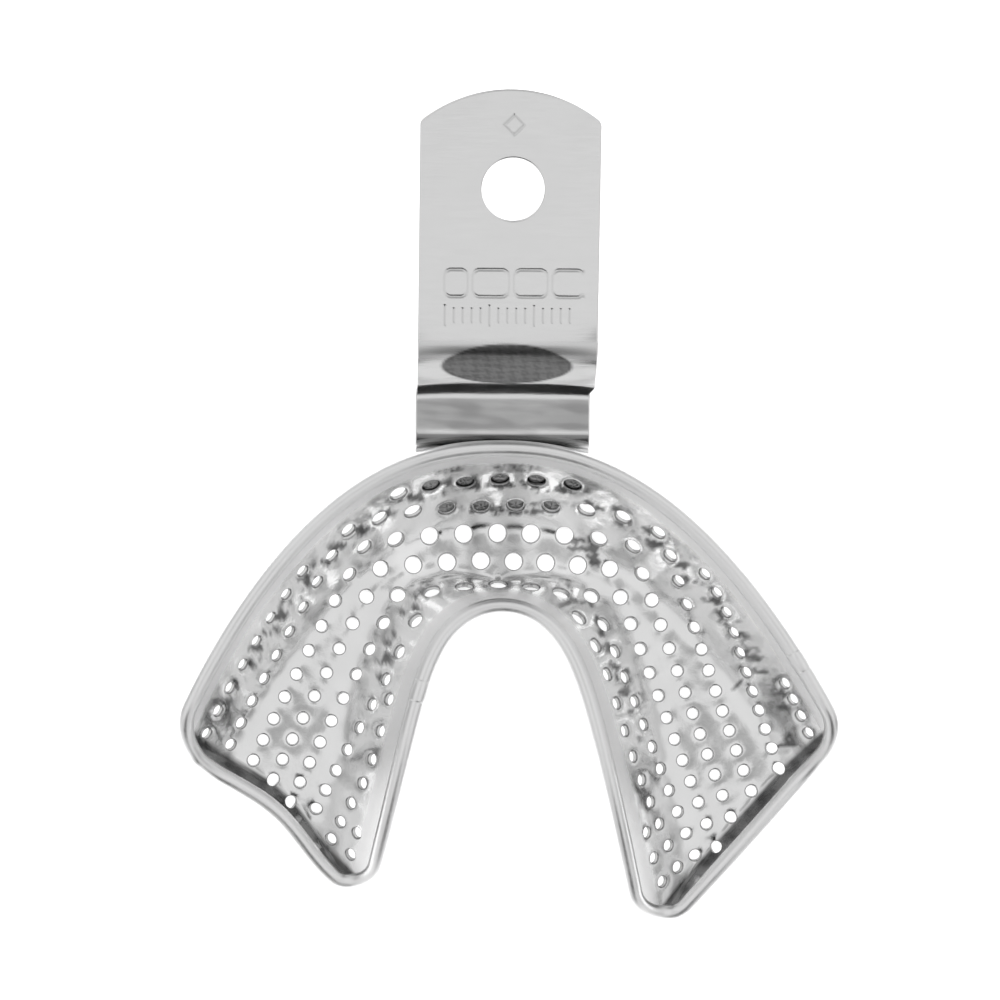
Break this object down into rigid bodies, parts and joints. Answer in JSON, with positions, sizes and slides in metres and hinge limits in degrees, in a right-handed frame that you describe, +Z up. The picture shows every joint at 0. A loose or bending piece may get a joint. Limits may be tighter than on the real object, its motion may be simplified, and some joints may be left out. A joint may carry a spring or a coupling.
{
  "type": "impression tray",
  "caption": "Perforated lower impression tray of polished steel with a wired rim and a stepped handle with a hanging hole.",
  "frame": {"origin": "bottom centre of the bounding box", "axes": "+Z up out of the trough, +Y towards the free end of the handle, +X to the right when looking down into the trough with the handle away from the viewer"},
  "size_m": [0.0712, 0.0892, 0.0167],
  "materials": {
    "sheet_steel": "polished",
    "wire_steel": "polished",
    "handle_steel": "polished",
    "braze_metal": "satin"
  },
  "bodies": {
    "root": {"tray_shell": "sheet_steel", "rim_wire_front": "wire_steel", "rim_wire_rear": "wire_steel", "rim_solder_left": "braze_metal", "rim_solder_right": "braze_metal", "handle": "handle_steel", "foot_braze": "braze_metal"}
  },
  "joints": []
}
